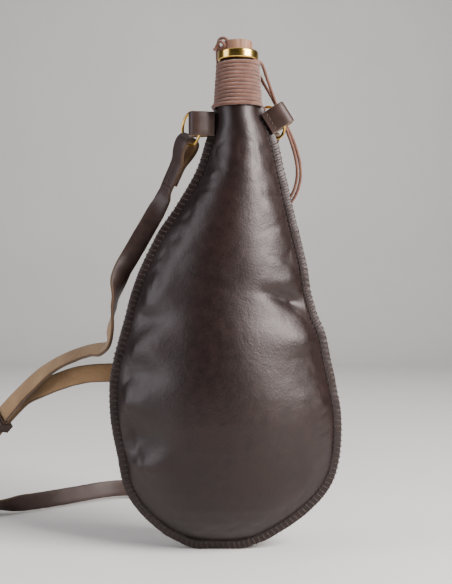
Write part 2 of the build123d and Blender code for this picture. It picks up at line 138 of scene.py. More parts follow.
LEASH_B = [
    (0.0246, 0.0080, 0.3289), (0.0274, 0.0096, 0.3246), (0.0338, 0.0132, 0.3146),
    (0.0406, 0.0154, 0.3020),
    (0.0476, 0.0152, 0.2884), (0.0530, 0.0134, 0.2718), (0.0538, 0.0114, 0.2560),
    (0.0476, 0.0134, 0.2406), (0.0334, 0.0256, 0.2334), (0.0128, 0.0306, 0.2408),
    (-0.0042, 0.0296, 0.2606), (-0.0060, 0.0272, 0.2880), (-0.0050, 0.0256, 0.3130),
    (-0.0048, 0.0196, 0.3355), (-0.0058, 0.0110, 0.3476), (-0.0052, 0.0039, 0.3509),
]


# ------------------------------------------------------------------ node helpers
def new_material(name):
    mat = bpy.data.materials.new(name)
    mat.use_nodes = True
    tree = mat.node_tree
    tree.nodes.clear()
    out = tree.nodes.new("ShaderNodeOutputMaterial")
    skin = tree.nodes.new("ShaderNodeBsdfPrincipled")
    tree.links.new(skin.outputs[0], out.inputs[0])
    return mat, tree, skin


def place_of(tree, scale=(1, 1, 1), source="Object"):
    coord = tree.nodes.new("ShaderNodeTexCoord")
    mapping = tree.nodes.new("ShaderNodeMapping")
    mapping.inputs["Scale"].default_value = scale
    tree.links.new(coord.outputs[source], mapping.inputs["Vector"])
    return mapping.outputs["Vector"]


def noise_of(tree, vector, scale, detail=4, rough=0.55, distortion=0.0):
    node = tree.nodes.new("ShaderNodeTexNoise")
    node.inputs["Scale"].default_value = scale
    node.inputs["Detail"].default_value = detail
    node.inputs["Roughness"].default_value = rough
    node.inputs["Distortion"].default_value = distortion
    tree.links.new(vector, node.inputs["Vector"])
    return node.outputs["Fac"]


def cells_of(tree, vector, scale):
    node = tree.nodes.new("ShaderNodeTexVoronoi")
    node.feature = "F1"
    node.inputs["Scale"].default_value = scale
    tree.links.new(vector, node.inputs["Vector"])
    return node.outputs["Distance"]


def waves_of(tree, vector, scale, distortion):
    node = tree.nodes.new("ShaderNodeTexWave")
    node.bands_direction = "DIAGONAL"
    node.inputs["Scale"].default_value = scale
    node.inputs["Distortion"].default_value = distortion
    node.inputs["Detail"].default_value = 0.0
    tree.links.new(vector, node.inputs["Vector"])
    return node.outputs["Fac"]


def ramp_of(tree, fac, stops):
    node = tree.nodes.new("ShaderNodeValToRGB")
    ramp = node.color_ramp
    while len(ramp.elements) < len(stops):
        ramp.elements.new(0.5)
    for element, (place, colour) in zip(ramp.elements, stops):
        element.position = place
        element.color = (*colour, 1)
    tree.links.new(fac, node.inputs["Fac"])
    return node.outputs["Color"]


def maths(tree, how, a, b):
    node = tree.nodes.new("ShaderNodeMath")
    node.operation = how
    for socket, value in zip(node.inputs, (a, b)):
        if isinstance(value, (int, float)):
            socket.default_value = value
        else:
            tree.links.new(value, socket)
    return node.outputs[0]


def bump_of(tree, skin, height, distance, strength=1.0, under=None):
    node = tree.nodes.new("ShaderNodeBump")
    node.inputs["Strength"].default_value = strength
    node.inputs["Distance"].default_value = distance
    tree.links.new(height, node.inputs["Height"])
    if under is not None:
        tree.links.new(under, node.inputs["Normal"])
    tree.links.new(node.outputs["Normal"], skin.inputs["Normal"])
    return node.outputs["Normal"]


def spread(tree, fac, low, high):
    node = tree.nodes.new("ShaderNodeMapRange")
    node.inputs["To Min"].default_value = low
    node.inputs["To Max"].default_value = high
    tree.links.new(fac, node.inputs["Value"])
    return node.outputs["Result"]


# ------------------------------------------------------------------ materials
def grain_leather(name, dark, light, grain=620, gloss=(0.34, 0.52), crease=0.0009):
    mat, tree, skin = new_material(name)
    at = place_of(tree)
    broad = noise_of(tree, at, 22, 5)
    fine = noise_of(tree, at, 160, 6, 0.6)
    tone = maths(tree, "MULTIPLY", maths(tree, "ADD", broad, fine), 0.5)
    colour = ramp_of(tree, tone, [(0.36, dark), (0.66, light)])
    tree.links.new(colour, skin.inputs["Base Color"])
    tree.links.new(spread(tree, fine, *gloss), skin.inputs["Roughness"])
    pebble = cells_of(tree, at, grain)
    lines = noise_of(tree, at, 95, 8, 0.62, 1.2)
    first = bump_of(tree, skin, pebble, 0.00010, 0.45)
    second = bump_of(tree, skin, lines, crease, 0.25, first)
    folds = noise_of(tree, place_of(tree, (1, 1, 0.6)), 34, 3, 0.5, 0.4)
    bump_of(tree, skin, folds, 0.0010, 0.25, second)
    skin.inputs["Specular IOR Level"].default_value = 0.42
    skin.inputs["Specular Tint"].default_value = (1.0, 0.90, 0.90, 1)
    skin.inputs["Coat Weight"].default_value = 0.06
    skin.inputs["Coat Roughness"].default_value = 0.35
    return mat


def flesh_leather(name, dark, light):
    mat, tree, skin = new_material(name)
    at = place_of(tree)
    fibres = noise_of(tree, at, 700, 6, 0.7, 2.0)
    patches = noise_of(tree, at, 60, 4)
    tone = maths(tree, "MULTIPLY", maths(tree, "ADD", fibres, patches), 0.5)
    tree.links.new(ramp_of(tree, tone, [(0.34, dark), (0.66, light)]), skin.inputs["Base Color"])
    skin.inputs["Roughness"].default_value = 0.88
    skin.inputs["Sheen Weight"].default_value = 0.25
    skin.inputs["Sheen Roughness"].default_value = 0.5
    bump_of(tree, skin, fibres, 0.0003, 0.6)
    return mat


def polished_brass(name):
    mat, tree, skin = new_material(name)
    at = place_of(tree)
    tarnish = noise_of(tree, at, 140, 5)
    colour = ramp_of(tree, tarnish, [(0.3, (0.60, 0.36, 0.08)), (0.7, (0.84, 0.56, 0.16))])
    tree.links.new(colour, skin.inputs["Base Color"])
    skin.inputs["Metallic"].default_value = 1.0
    tree.links.new(spread(tree, tarnish, 0.12, 0.30), skin.inputs["Roughness"])
    scratches = noise_of(tree, place_of(tree, (1, 1, 9)), 420, 3)
    bump_of(tree, skin, scratches, 0.00005, 0.3)
    return mat


def pale_wood(name, dark, light):
    mat, tree, skin = new_material(name)
    grain = noise_of(tree, place_of(tree, (1, 1, 0.06)), 520, 6, 0.6, 0.4)
    rings = noise_of(tree, place_of(tree, (1, 1, 0.15)), 150, 3)
    tone = maths(tree, "MULTIPLY", maths(tree, "ADD", grain, rings), 0.5)
    tree.links.new(ramp_of(tree, tone, [(0.38, dark), (0.60, light)]), skin.inputs["Base Color"])
    tree.links.new(spread(tree, grain, 0.55, 0.8), skin.inputs["Roughness"])
    bump_of(tree, skin, grain, 0.0003, 0.6)
    return mat


def soft_cord(name, dark, light, pitch=900):
    mat, tree, skin = new_material(name)
    at = place_of(tree)
    fuzz = noise_of(tree, at, 1500, 6, 0.7)
    patches = noise_of(tree, at, 180, 4)
    tone = maths(tree, "MULTIPLY", maths(tree, "ADD", fuzz, patches), 0.5)
    tree.links.new(ramp_of(tree, tone, [(0.33, dark), (0.64, light)]), skin.inputs["Base Color"])
    skin.inputs["Roughness"].default_value = 0.9
    skin.inputs["Sheen Weight"].default_value = 0.35
    skin.inputs["Sheen Roughness"].default_value = 0.45
    first = bump_of(tree, skin, fuzz, 0.0003, 0.7)
    bump_of(tree, skin, waves_of(tree, place_of(tree, (1, 1, 1), "UV"), pitch, 1.0),
            0.0002, 0.5, first)
    return mat


def waxed_thread(name):
    mat, tree, skin = new_material(name)
    at = place_of(tree)
    twist = waves_of(tree, place_of(tree, (1, 1, 1), "UV"), 300, 0.5)
    tone = noise_of(tree, at, 400, 4)
    colour = ramp_of(tree, tone, [(0.3, (0.016, 0.008, 0.005)), (0.7, (0.050, 0.026, 0.016))])
    tree.links.new(colour, skin.inputs["Base Color"])
    tree.links.new(spread(tree, tone, 0.45, 0.65), skin.inputs["Roughness"])
    bump_of(tree, skin, twist, 0.00012, 0.6)
    return mat


def matt_latex(name):
    mat, tree, skin = new_material(name)
    tone = noise_of(tree, place_of(tree), 120, 4)
    tree.links.new(ramp_of(tree, tone, [(0.3, (0.02, 0.02, 0.02)), (0.7, (0.05, 0.045, 0.04))]),
                   skin.inputs["Base Color"])
    skin.inputs["Roughness"].default_value = 0.7
    bump_of(tree, skin, tone, 0.0003, 0.4)
    return mat


BODY_LEATHER = grain_leather("body_leather", (0.0058, 0.0022, 0.0017), (0.0150, 0.0060, 0.0046),
                            620, (0.36, 0.50))
STRAP_GRAIN = grain_leather("strap_grain", (0.022, 0.0110, 0.0085), (0.052, 0.027, 0.0205),
                            900, (0.42, 0.6), 0.0004)
FLESH = flesh_leather("flesh_side", (0.17, 0.092, 0.038), (0.36, 0.215, 0.100))
CUT_EDGE = flesh_leather("cut_edge", (0.055, 0.028, 0.013), (0.12, 0.065, 0.030))
TAB_EDGE = flesh_leather("tab_edge", (0.085, 0.045, 0.022), (0.20, 0.115, 0.055))
BRASS = polished_brass("polished_brass")
WOOD = pale_wood("stopper_wood", (0.14, 0.060, 0.033), (0.33, 0.175, 0.108))
TURNED = pale_wood("neck_wood", (0.10, 0.055, 0.03), (0.22, 0.13, 0.075))
CORD = soft_cord("suede_cord", (0.075, 0.027, 0.017), (0.205, 0.090, 0.059))
THREAD = waxed_thread("seam_thread")
# Near-black painted shade for the mouths of the awl holes, which are not cut.
HOLE_PAINTED_SHADE = flesh_leather("hole_shadow", (0.0025, 0.0018, 0.0015), (0.007, 0.005, 0.004))
LATEX = matt_latex("bladder_latex")
CUT_EDGE_DARK = flesh_leather("flange_edge", (0.020, 0.010, 0.006), (0.052, 0.028, 0.017))


# ------------------------------------------------------------------ mesh helpers
def finish_piece(name, bm, materials):
    mesh = bpy.data.meshes.new(name)
    bm.to_mesh(mesh)
    bm.free()
    for mat in materials:
        mesh.materials.append(mat)
    mesh.shade_smooth()
    obj = bpy.data.objects.new(name, mesh)
    bpy.context.scene.collection.objects.link(obj)
    return obj


def skin_over(name, rows, materials, columns=None, long=1.0, wide=1.0):
    """A grid bent round closed rows of points, merged along its side and capped at both ends."""
    bm = bmesh.new()
    uv = bm.loops.layers.uv.new("UVMap")
    count = len(rows[0])
    bmesh.ops.create_grid(bm, x_segments=count, y_segments=len(rows) - 1, size=0.5, calc_uvs=True)
    bm.verts.ensure_lookup_table()
    bm.faces.ensure_lookup_table()
    for vert in bm.verts:
        j, i = divmod(vert.index, count + 1)
        vert.co = rows[j][i % count]
    for face in bm.faces:
        if columns:
            face.material_index = columns[face.index % count]
        for loop in face.loops:
            loop[uv].uv.x *= wide
            loop[uv].uv.y *= long
    bmesh.ops.remove_doubles(bm, verts=bm.verts, dist=1e-7)
    rim = [e for e in bm.edges if e.is_boundary]
    bmesh.ops.holes_fill(bm, edges=rim, sides=0)
    bmesh.ops.recalc_face_normals(bm, faces=bm.faces)
    return finish_piece(name, bm, materials)


def round_section(radius, sides):
    return [(radius * math.cos(math.tau * k / sides), radius * math.sin(math.tau * k / sides))
            for k in range(sides)]


def strap_section(width, thick):
    # Grain side first, then the edge, the flesh side and the other edge.
    w, t, r = width / 2, thick / 2, thick * 0.28
    points = [(-w + r, t), (-w * 0.5, t * 1.05), (0, t * 1.08), (w * 0.5, t * 1.05), (w - r, t)]
    points += [(w - r * 0.3, t - r * 0.3), (w, t - r), (w, -t + r), (w - r * 0.3, -t + r * 0.3)]
    points += [(w - r, -t), (w * 0.4, -t), (-w * 0.4, -t), (-w + r, -t)]
    points += [(-w + r * 0.3, -t + r * 0.3), (-w, -t + r), (-w, t - r), (-w + r * 0.3, t - r * 0.3)]
    kinds = [0] * 4 + [0, 2, 2, 2, 2] + [1] * 3 + [2, 2, 2, 2, 0]
    return points, kinds


def smooth_route(points):
    """Points read from one NURBS spline through the route's control points."""
    curve = bpy.data.curves.new("route", "CURVE")
    curve.dimensions = "3D"
    curve.resolution_u = 16
    spline = curve.splines.new("NURBS")
    spline.points.add(len(points) - 1)
    for knot, p in zip(spline.points, points):
        knot.co = (*p, 1)
    spline.order_u = 3
    spline.use_endpoint_u = True
    holder = bpy.data.objects.new("route", curve)
    bpy.context.scene.collection.objects.link(holder)
    bpy.context.view_layer.update()
    mesh = bpy.data.meshes.new_from_object(holder.evaluated_get(
        bpy.context.evaluated_depsgraph_get()))
    line = [v.co.copy() for v in mesh.vertices]
    bpy.data.objects.remove(holder)
    bpy.data.meshes.remove(mesh)
    return line


def distances(points):
    marks = [0.0]
    for a, b in zip(points, points[1:]):
        marks.append(marks[-1] + (Vector(b) - Vector(a)).length)
    return marks


def even_steps(line, step):
    """The same line with its points at one spacing, and its length."""
    marks = distances(line)
    count = max(2, round(marks[-1] / step))
    out = []
    k = 0
    for i in range(count + 1):
        s = marks[-1] * i / count
        while k < len(marks) - 2 and marks[k + 1] < s:
            k += 1
        f = (s - marks[k]) / max(1e-9, marks[k + 1] - marks[k])
        out.append(line[k].lerp(line[k + 1], min(1.0, f)))
    return out, marks[-1]


def tangents(line):
    out = []
    for i in range(len(line)):
        a = line[max(0, i - 1)]
        b = line[min(len(line) - 1, i + 1)]
        out.append((b - a).normalized())
    return out


def tube_rows(line, radius, sides, wobble=0.0, seed=0):
    rows = []
    side = None
    for p, t in zip(line, tangents(line)):
        if side is None:
            side = t.orthogonal().normalized()
        side = (side - t * side.dot(t)).normalized()
        other = t.cross(side)
        row = []
        for a, b in round_section(radius, sides):
            q = p + side * a + other * b
            grow = 1 + wobble * noise.noise(q * 900 + Vector((seed, 0, 0)))
            row.append(p + (side * a + other * b) * grow)
        rows.append(row)
    return rows


def ribbon(name, route, faces, materials, width=STRAP_WIDTH, thick=STRAP_THICK):
    """A flat strap along a route, its grain side turned the way each route row says."""
    line, length = even_steps(smooth_route(route), 0.0024)
    marks = distances(route)
    marks = [m / marks[-1] for m in marks]
    section, kinds = strap_section(width, thick)
    rows = []
    for i, (p, t) in enumerate(zip(line, tangents(line))):
        s = i / (len(line) - 1)
        k = 0
        while k < len(marks) - 2 and marks[k + 1] < s:
            k += 1
        f = (s - marks[k]) / (marks[k + 1] - marks[k])
        f = f * f * (3 - 2 * f)
        normal = Vector(faces[k]).normalized().lerp(Vector(faces[k + 1]).normalized(), f)
        normal = (normal - t * normal.dot(t)).normalized()
        across = t.cross(normal)
        row = []
        for a, b in section:
            q = p + across * a + normal * b
            wave = 0.00022 * noise.noise(q * 140) + 0.0001 * noise.noise(q * 500)
            row.append(q + across * wave * (1 if a > 0 else -1) + normal * wave * 0.6)
        rows.append(row)
    obj = skin_over(name, rows, materials, kinds, length, width)
    return obj, line, length


# ------------------------------------------------------------------ the flask's body
def catmull(points, per):
    padded_points = [points[0]] + points + [points[-1]]
    out = []
    for i in range(1, len(padded_points) - 2):
        p0, p1, p2, p3 = (Vector(padded_points[i + k]) for k in (-1, 0, 1, 2))
        for k in range(per):
            t = k / per
            out.append(0.5 * ((2 * p1) + (p2 - p0) * t + (2 * p0 - 5 * p1 + 4 * p2 - p3) * t * t
                              + (3 * p1 - p0 - 3 * p2 + p3) * t ** 3))
    out.append(Vector(points[-1]))
    return out


# The edge runs on a little way up under the cord binding at both ends.
UNDER_BINDING = [(-0.0060, 0.3105)] + OUTLINE + [(0.0248, 0.3105)]
EDGE = catmull([Vector((x, 0, z)) for x, z in UNDER_BINDING], 14)
EDGE = [Vector((p.x, 0, max(p.z, 0.0))) for p in EDGE]
EDGE, EDGE_LENGTH = even_steps(EDGE, 0.0009)


def outward(t):
    return Vector((t.z, 0, -t.x))


SEAM = [p - outward(t) * SEAM_INSET for p, t in zip(EDGE, tangents(EDGE))]


def between(table, z):
    for (z0, v0), (z1, v1) in zip(table, table[1:]):
        if z1 <= z <= z0:
            return v0 + (v1 - v0) * (z - z0) / (z1 - z0)
    return table[0][1] if z > table[0][0] else table[-1][1]


def seam_sides(z):
    hits = []
    for a, b in zip(SEAM, SEAM[1:]):
        if (a.z - z) * (b.z - z) <= 0 and a.z != b.z:
            hits.append(a.x + (b.x - a.x) * (z - a.z) / (b.z - a.z))
    return min(hits), max(hits)


def bulge(x, z, at_x, at_z, wide, tall):
    return math.exp(-((x - at_x) / wide) ** 2 - ((z - at_z) / tall) ** 2)


# Dents as (height, x, z, width, tallness); a minus height is a hollow.
# The hollow low on the left and the full place under it.
LOW_LEFT = [(-0.0052, -0.060, 0.079, 0.017, 0.013), (0.0026, -0.056, 0.060, 0.018, 0.009)]
# The crease that runs in from the right edge, with z measured from its own line.
RIGHT_CREASE = [
    (-0.0042, 0.053, 0.0, 0.017, 0.0055), (-0.0016, 0.036, 0.002, 0.010, 0.0040),
    (0.0020, 0.053, 0.013, 0.016, 0.0085),
]
# The full place under that crease, those and the hollows down the left edge, and the middle.
EDGE_DENTS = [
    (0.0026, 0.056, 0.148, 0.017, 0.012), (0.0022, -0.050, 0.179, 0.014, 0.014),
    (-0.0020, -0.053, 0.160, 0.014, 0.007), (0.0024, -0.056, 0.142, 0.015, 0.010),
    (-0.0022, -0.058, 0.122, 0.016, 0.008), (0.0022, -0.062, 0.103, 0.014, 0.010),
    (0.0012, 0.0, 0.110, 0.040, 0.050),
]


def add_dents(lift, dents, x, z):
    for height, at_x, at_z, wide, tall in dents:
        lift += height * bulge(x, z, at_x, at_z, wide, tall)
    return lift


def surface_lift(x, y, z, near):
    """How far the leather stands proud of the plain filled shape; near is 1 at the seam."""
    p = Vector((x, y, z))
    lift = 0.0018 * noise.noise(p * 15 + Vector((3, 0, 7)))
    lift += 0.0005 * noise.noise(Vector((x * 40, y * 40, z * 24)))
    pucker = noise.noise(Vector((x * 105, y * 25, z * 105)) + Vector((9, 2, 4)))
    lift += 0.0016 * pucker * near
    folds = abs(noise.noise(Vector((x * 60 + 5, y * 30, z * 75))))
    lift -= 0.0011 * max(0.0, 0.22 - folds) / 0.22 * near
    lift = add_dents(lift, LOW_LEFT, x, z)
    crease = math.sin((z - 0.10 * x) * 1900) * bulge(x, z, -0.055, 0.072, 0.013, 0.006)
    lift += 0.00022 * crease
    lift = add_dents(lift, RIGHT_CREASE, x, z - (0.1705 - 0.20 * (x - 0.055)))
    return add_dents(lift, EDGE_DENTS, x, z)


def make_shell(name, materials, inset):
    """The filled skin: inset 0 is the leather, and more is the bladder inside it."""
    levels = [NECK_TOP_Z - 0.0016 * i for i in range(21)]
    z = levels[-1] - 0.0014
    if inset:
        levels = [0.282]
        z = 0.2803
    while z > 0.030:
        levels.append(z)
        z -= 0.0017
    while z > 0.0056 + inset * 1.6:
        levels.append(z)
        z -= 0.0006 + 0.0011 * max(0.0, (z - 0.006) / 0.024)
    columns = 200
    rows = []
    for z in levels:
        r = between([(NECK_TOP_Z, NECK_TOP_R), (NECK_LOW_Z, NECK_LOW_R)], z)
        if z < 0.3055:
            left, right = seam_sides(z)
            blendin = min(1.0, (0.3055 - z) / 0.012)
            left = (NECK_X - NECK_LOW_R) * (1 - blendin) + left * blendin
            right = (NECK_X + NECK_LOW_R) * (1 - blendin) + right * blendin
        else:
            left, right = NECK_X - r, NECK_X + r
        depth = max(0.0006, between(DEPTHS, z) - inset)
        settle = min(1.0, max(0.0, (0.306 - z) / 0.036))
        power = 0.5 + 0.30 * settle * settle * (3 - 2 * settle)
        middle, half = (left + right) / 2, max(0.002, (right - left) / 2 - inset)
        row = []
        for k in range(columns):
            angle = math.tau * k / columns
            u = math.cos(angle)
            side = -1 if math.sin(angle) >= 0 else 1
            y = side * depth * max(0.0, 1 - u * u) ** power
            p = Vector((middle + half * u, y, z))
            edge = min(half * (1 - abs(u)), z - 0.005 if z < 0.03 else 1.0)
            near = math.exp(-max(0.0, edge) / 0.011) * min(1.0, abs(y) / 0.003)
            if z < 0.300:
                lift = surface_lift(p.x, p.y, p.z, near) * min(1.0, (0.300 - z) / 0.02)
                lift *= min(1.0, max(0.0, abs(y) - 0.0028) / 0.009)
                out = Vector((u * depth / max(half, 1e-4), side * (1 - abs(u) * 0.5), 0)).normalized()
                p += out * lift
            row.append(p)
        rows.append(row)
    if inset:
        return skin_over(name, rows, materials)
    sleeve = []
    for z, r in ((0.283, 0.0112), (0.290, 0.0109), (0.320, 0.01035), (0.3378, 0.01035)):
        sleeve.append([Vector((NECK_X + r * math.cos(math.tau * k / columns),
                               -r * math.sin(math.tau * k / columns), z)) for k in range(columns)])
    return skin_over(name, sleeve + rows, materials)


def walk(line):
    """Each point with its outward direction and the distance run so far."""
    for p, t, run in zip(line, tangents(line), distances(line)):
        yield p, outward(t), run


def make_flange():
    """The two sewn layers outside the seam line, pinched by every stitch."""
    rows = []
    for p, n, run in walk(EDGE):
        phase = math.tau * run / STITCH_PITCH
        pinch = 1 - 0.10 * (0.5 + 0.5 * math.cos(phase))
        ragged = 0.0005 * noise.noise(p * 70) + 0.0002 * noise.noise(p * 300)
        half = FLANGE_HALF * pinch * (1 + 0.12 * noise.noise(p * 90 + Vector((4, 4, 4))))
        edge_at = -0.0001 + ragged - 0.00022 * (0.5 + 0.5 * math.cos(phase))
        sway = 0.0006 * noise.noise(p * 34 + Vector((1, 8, 2)))
        if p.z < 0.002:
            edge_at = min(edge_at, 0.0)
            sway = 0.0
        thin = half * 0.70
        ring = [(-0.0082, -half * 1.30), (-0.0050, -half * 1.27), (edge_at - 0.0006, -thin * 0.99),
                (edge_at - 0.0001, -thin * 0.72), (edge_at - 0.0001, -thin * 0.12),
                (edge_at - 0.0004, 0.0), (edge_at - 0.0001, thin * 0.12),
                (edge_at - 0.0001, thin * 0.72), (edge_at - 0.0006, thin * 0.99),
                (-0.0050, half * 1.27), (-0.0082, half * 1.30)]
        rows.append([p + n * a + Vector((0, b + sway * min(1.0, 1 + a / 0.0075), 0))
                     for a, b in ring])
    columns = [0, 0, 0, 1, 1, 1, 1, 0, 0, 0, 0]
    return skin_over("seam_flange", rows, [BODY_LEATHER, CUT_EDGE_DARK], columns)


def make_seam_thread():
    """One thread that runs over the edge and through the awl holes, turn after turn."""
    line = []
    for p, n, run in walk(even_steps(EDGE, STITCH_PITCH / 14)[0]):
        if p.z > STITCHES_STOP_Z:
            continue
        phase = math.tau * run / STITCH_PITCH
        c, s = math.cos(phase), math.sin(phase)
        reach = 0.00250 * math.copysign(abs(c) ** 0.8, c)
        inward = 0.00258 - reach
        plate = FLANGE_HALF * (0.72 + 0.55 * inward / 0.0050) + 0.00010
        lift = plate * math.copysign(abs(s) ** 0.42, s)
        q = p - n * inward + Vector((0, lift, 0))
        if q.z < 0.0005:
            q.z = 0.0005
        line.append(q)
    rows = tube_rows(line, 0.00034, 6, 0.12)
    return skin_over("seam_thread", rows, [THREAD], None, EDGE_LENGTH * 4, 0.0025)


def make_awl_holes():
    """Dark dots of painted shade for the mouths of the awl holes, on both faces, where the thread goes
    in; no hole is cut.
    """
    bm = bmesh.new()
    mark = 0.5 * STITCH_PITCH
    for p, n, run in walk(EDGE):
        if run < mark:
            continue
        mark += STITCH_PITCH
        if p.z > 0.3035:
            continue
        at = p - n * 0.00515
        for face in (-1, 1):
            size = 0.00066 + 0.00012 * noise.noise(at * 700)
            made = bmesh.ops.create_icosphere(bm, subdivisions=1, radius=size)
            for vert in made["verts"]:
                vert.co = at + Vector((vert.co.x, face * (FLANGE_HALF * 1.29) + vert.co.y * 0.5,
                                       vert.co.z * 1.1))
    return finish_piece("awl_holes", bm, [HOLE_PAINTED_SHADE])


body = make_shell("flask_leather", [BODY_LEATHER], 0.0)
bladder = make_shell("inner_bladder", [LATEX], 0.0034)
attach(bladder, "flask")
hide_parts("bladder")
flange = make_flange()
thread = make_seam_thread()
awl_holes = make_awl_holes()
for piece in (body, flange, thread, awl_holes):
    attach(piece, "flask")
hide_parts("front_panel", "back_panel")
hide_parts("seam_stitching")


# ------------------------------------------------------------------ the neck's cord binding
def make_binding():
    """One cord wound up the neck, a little spread at its foot where it meets the shoulders."""
    line = []
    steps = int(BINDING_TURNS * 44)
    for i in range(steps + 1):
        angle = math.tau * BINDING_TURNS * i / steps
        z = BINDING_FOOT_Z + (BINDING_END_Z - BINDING_FOOT_Z) * i / steps
        r = between([(NECK_TOP_Z, NECK_TOP_R), (NECK_LOW_Z, NECK_LOW_R)], z) + 0.00128
        flare = max(0.0, 1 - (z - BINDING_FOOT_Z) / 0.0055)
        r += flare * flare * (0.0004 + 0.0020 * math.cos(angle) ** 2)
        r += 0.00022 * noise.noise(Vector((math.cos(angle) * 2, math.sin(angle) * 2, z * 600)))
        z += 0.00022 * noise.noise(Vector((math.cos(angle) * 1.5, math.sin(angle) * 1.5, z * 380)))
        line.append(Vector((NECK_X + r * math.cos(angle), r * math.sin(angle), z)))
    rows = tube_rows(line, BINDING_CORD_R, 10, 0.14, 3)
    return skin_over("binding_cord", rows, [CORD], None, 1.1, 0.0083)


binding = make_binding()
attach(binding, "flask")
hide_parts("neck_binding")


# ------------------------------------------------------------------ stopper knot
def make_knot():
    x = NECK_X - 0.0098
    z = 0.3484
    route = [
        (NECK_X + 0.0084, 0.0, z), (NECK_X + 0.004, 0.0, z), (NECK_X - 0.004, 0.0, z),
        (x - 0.0006, -0.0006, z), (x - 0.0014, -0.0034, z - 0.0014),
        (x + 0.0012, -0.0052, z - 0.0018), (x + 0.0030, -0.0062, z + 0.0006),
        (x + 0.0024, -0.0064, z + 0.0036), (x - 0.0004, -0.0056, z + 0.0052),
        (x - 0.0032, -0.0042, z + 0.0044), (x - 0.0042, -0.0030, z + 0.0014),
        (x - 0.0030, -0.0030, z - 0.0018), (x - 0.0004, -0.0044, z - 0.0026),
        (x + 0.0008, -0.0062, z - 0.0004), (x - 0.0010, -0.0070, z + 0.0020),
        (x - 0.0034, -0.0058, z + 0.0024), (x - 0.0044, -0.0034, z + 0.0004),
        (x - 0.0056, -0.0030, z - 0.0018), (x - 0.0068, -0.0034, z - 0.0030),
    ]
    line, length = even_steps(smooth_route(route), 0.00045)
    return skin_over("leash_knot", tube_rows(line, 0.0011, 9, 0.16, 5), [CORD], None,
                     length, CORD_ROUND)


knot = make_knot()
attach(knot, "stopper")
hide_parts("stopper_knot")


# ------------------------------------------------------------------ leash strands
def make_leash(name, route, seed):
    line, length = even_steps(smooth_route(route), 0.0011)
    rows = tube_rows(line, LEASH_D / 2, 9, 0.14, seed)
    return skin_over(name, rows, [CORD], None, length, CORD_ROUND), line, length


for name, route, seed in (("leash_a", LEASH_A, 1), ("leash_b", LEASH_B, 2)):
    strand, line, length = make_leash(name, route, seed)
    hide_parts("leash_strand_a" if name == "leash_a" else "leash_strand_b")
    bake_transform(strand)


# Where the two strands come out from under the binding's turns.
LEASH_ROOTS = {
    "leash_root_a": [(0.0190, -0.0092, 0.3370), (0.0226, -0.0046, 0.3374), (0.0250, -0.0006, 0.3373),
                     (0.0264, 0.0018, 0.3356), (0.0275, 0.0034, 0.3327), (0.0284, 0.0046, 0.3303)],
    "leash_root_b": [(0.0236, 0.0014, 0.3292), (0.0244, 0.0052, 0.3297), (0.0254, 0.0082, 0.3282),
                     (0.0266, 0.0092, 0.3258), (0.0277, 0.0098, 0.3238)],
}
for name, route in LEASH_ROOTS.items():
    root_line, root_length = even_steps(smooth_route(route), 0.0006)
    root = skin_over(name, tube_rows(root_line, LEASH_D / 2 * 1.03, 9, 0.10, 6), [CORD], None,
                     root_length, CORD_ROUND)
    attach(root, "flask")


# ------------------------------------------------------------------ strap ends on the rings
def tab_frame(left):
    if left:
        return Vector((-0.0124, 0, 0.2943)), Vector((-1, 0, 0)), Vector((0, 0, -1))
    return (Vector((0.0332, 0, 0.2970)), Vector((0.85, 0, 0.53)).normalized(),
            Vector((0.53, 0, -0.85)).normalized())


def strap_end_frame(left):
    """Where the fold hangs on its ring: a point, the ring's wire, the way through and the way up."""
    origin, out, along = tab_frame(left)
    pivot = origin + out * 0.0056
    lean = math.radians(55 if left else 130)
    if left:
        pivot += Vector((0, 0, -0.0014))
    towards = out * math.cos(lean) + Vector((0, 1, 0)) * math.sin(lean)
    centre = pivot + towards * 0.0097
    turn = math.radians(28 if left else 60)
    down = along * math.cos(turn) + towards * math.sin(turn)
    wire = towards * math.cos(turn) - along * math.sin(turn)
    at = centre + down * 0.0115
    if left:
        side = wire.cross(down).normalized()
        if side.x > 0:
            side = -side
        down = (down * math.cos(math.radians(10)) + side * math.sin(math.radians(10))).normalized()
    up = -down
    return at, wire, up.cross(wire), up


def front_of(left):
    """The grain side of the layer that runs on as the strap."""
    through = strap_end_frame(left)[2]
    grain = Vector((LEFT_STRAP if left else RIGHT_STRAP)[0][1])
    return through if through.dot(grain) > 0 else -through


def strap_start(left):
    """The strap's first two route points, in line with the fold's front layer."""
    at, wire, _, up = strap_end_frame(left)
    step = front_of(left) * HALF_LAYER
    return [tuple(at - up * 0.0323 + step), tuple(at - up * 0.0365 + step)]


def make_strap_end(left):
    at, wire, through, up = strap_end_frame(left)
    r = 0.00505
    through = front_of(left)
    half = HALF_LAYER
    flat = [(half, -0.0320), (half, -0.026), (half, -0.019), (half + 0.0004, -0.0135),
            (r * 0.80, -0.0075), (r * 1.06, -0.0015), (r * 0.95, 0.0032), (r * 0.42, 0.0055),
            (-r * 0.42, 0.0055), (-r * 0.95, 0.0032), (-r * 1.06, -0.0015), (-r * 0.80, -0.0075),
            (-half - 0.0004, -0.0135), (-half, -0.019), (-half, -0.026), (-half, -0.0300)]
    route = [at + through * a + up * (b - 0.0004) for a, b in flat]
    line, length = even_steps(smooth_route(route), 0.0009)
    section, kinds = strap_section(STRAP_WIDTH, STRAP_THICK)
    normals = []
    for t in tangents(line):
        normal = t.cross(wire).normalized()
        if normals and normal.dot(normals[-1]) < 0:
            normal = -normal
        normals.append(normal)
    # The grain faces away from the fold's middle all the way round.
    if normals[len(normals) // 2].dot(up) < 0:
        normals = [-n for n in normals]
    rows = []
    for p, t, normal in zip(line, tangents(line), normals):
        across = t.cross(normal)
        row = []
        for a, b in section:
            q = p + across * a + normal * b
            row.append(q + normal * (0.0002 * noise.noise(q * 150)))
        rows.append(row)
    name = "left_strap_fold" if left else "right_strap_fold"
    return skin_over(name, rows, [STRAP_GRAIN, FLESH, CUT_EDGE], kinds,
                     length, STRAP_WIDTH)


